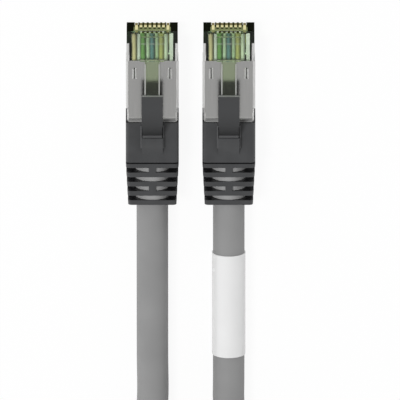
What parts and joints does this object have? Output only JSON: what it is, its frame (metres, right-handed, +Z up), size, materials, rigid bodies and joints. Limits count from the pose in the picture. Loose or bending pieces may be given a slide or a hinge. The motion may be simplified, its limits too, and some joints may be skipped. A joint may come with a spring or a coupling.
{
  "type": "ethernet patch cable",
  "caption": "Shielded patch cable with a latched clear plug and a dark lever boot at each end, its spare cord wound in a tied coil.",
  "frame": {"origin": "on the floor, under the middle of the box of the two plugs, which lie side by side with their latches up", "axes": "+X across the plugs, +Y towards their noses, +Z up"},
  "size_m": [0.0838, 0.1889, 0.0157],
  "materials": {
    "clear_green_plastic": "clear moulded, glossy",
    "gold_contacts": "gold plated, bright",
    "pale_plastic": "translucent moulded",
    "wire_orange": "extruded, smooth",
    "wire_blue": "extruded, smooth",
    "wire_green": "extruded, smooth",
    "wire_brown": "extruded, smooth",
    "wire_white": "extruded, smooth",
    "foil": "bright foil",
    "braid": "woven tinned wire",
    "ferrule_metal": "stamped and rolled",
    "shell_metal": "nickel plated, satin",
    "boot_plastic": "moulded, satin",
    "cord_jacket": "extruded, fine matt grain",
    "liner_plastic": "moulded, satin",
    "label_film": "glossy film",
    "tie_fabric": "hook-and-loop tape"
  },
  "bodies": {
    "root": {"housing_a": "clear_green_plastic", "contact_blades_a": "gold_contacts", "wire_guide_a": "pale_plastic", "wire_white_orange_a": "wire_white", "wire_orange_a": "wire_orange", "wire_white_green_a": "wire_white", "wire_blue_a": "wire_blue", "wire_white_blue_a": "wire_white", "wire_green_a": "wire_green", "wire_white_brown_a": "wire_white", "wire_brown_a": "wire_brown", "pair_foils_a": "foil", "jacket_end_a": "cord_jacket", "braid_a": "braid", "crimp_ferrule_a": "ferrule_metal", "shell_a": "shell_metal", "boot_a": "boot_plastic", "relief_liner_a": "liner_plastic", "housing_b": "clear_green_plastic", "contact_blades_b": "gold_contacts", "wire_guide_b": "pale_plastic", "wire_white_orange_b": "wire_white", "wire_orange_b": "wire_orange", "wire_white_green_b": "wire_white", "wire_blue_b": "wire_blue", "wire_white_blue_b": "wire_white", "wire_green_b": "wire_green", "wire_white_brown_b": "wire_white", "wire_brown_b": "wire_brown", "pair_foils_b": "foil", "jacket_end_b": "cord_jacket", "braid_b": "braid", "crimp_ferrule_b": "ferrule_metal", "shell_b": "shell_metal", "boot_b": "boot_plastic", "relief_liner_b": "liner_plastic", "cord_run_a": "cord_jacket", "cord_run_b": "cord_jacket", "cord_coil": "cord_jacket", "label_sleeve": "label_film", "coil_tie": "tie_fabric"},
    "latch_a": {"latch_a": "clear_green_plastic"},
    "latch_b": {"latch_b": "clear_green_plastic"},
    "lever_a": {"boot_lever_a": "boot_plastic"},
    "lever_b": {"boot_lever_b": "boot_plastic"}
  },
  "joints": [
    {"name": "latch_a_press", "type": "hinge", "parent": "root", "child": "latch_a", "pos_m": [-0.0087, 0.01955, 0.0079], "axis": [1, 0, 0], "range_deg": [0, 13], "stiffness_Nm_per_rad": 0.2},
    {"name": "lever_a_press", "type": "hinge", "parent": "root", "child": "lever_a", "pos_m": [-0.0087, -0.0039, 0.0096], "axis": [-1, 0, 0], "range_deg": [0, 19.5], "stiffness_Nm_per_rad": 0.1},
    {"name": "latch_b_press", "type": "hinge", "parent": "root", "child": "latch_b", "pos_m": [0.0087, 0.01955, 0.0079], "axis": [1, 0, 0], "range_deg": [0, 13], "stiffness_Nm_per_rad": 0.2},
    {"name": "lever_b_press", "type": "hinge", "parent": "root", "child": "lever_b", "pos_m": [0.0087, -0.0039, 0.0096], "axis": [-1, 0, 0], "range_deg": [0, 19.5], "stiffness_Nm_per_rad": 0.1}
  ],
  "couplings": [
    {"joint": "lever_a_press", "follows": "latch_a_press", "ratio": 1.5},
    {"joint": "lever_b_press", "follows": "latch_b_press", "ratio": 1.5}
  ]
}
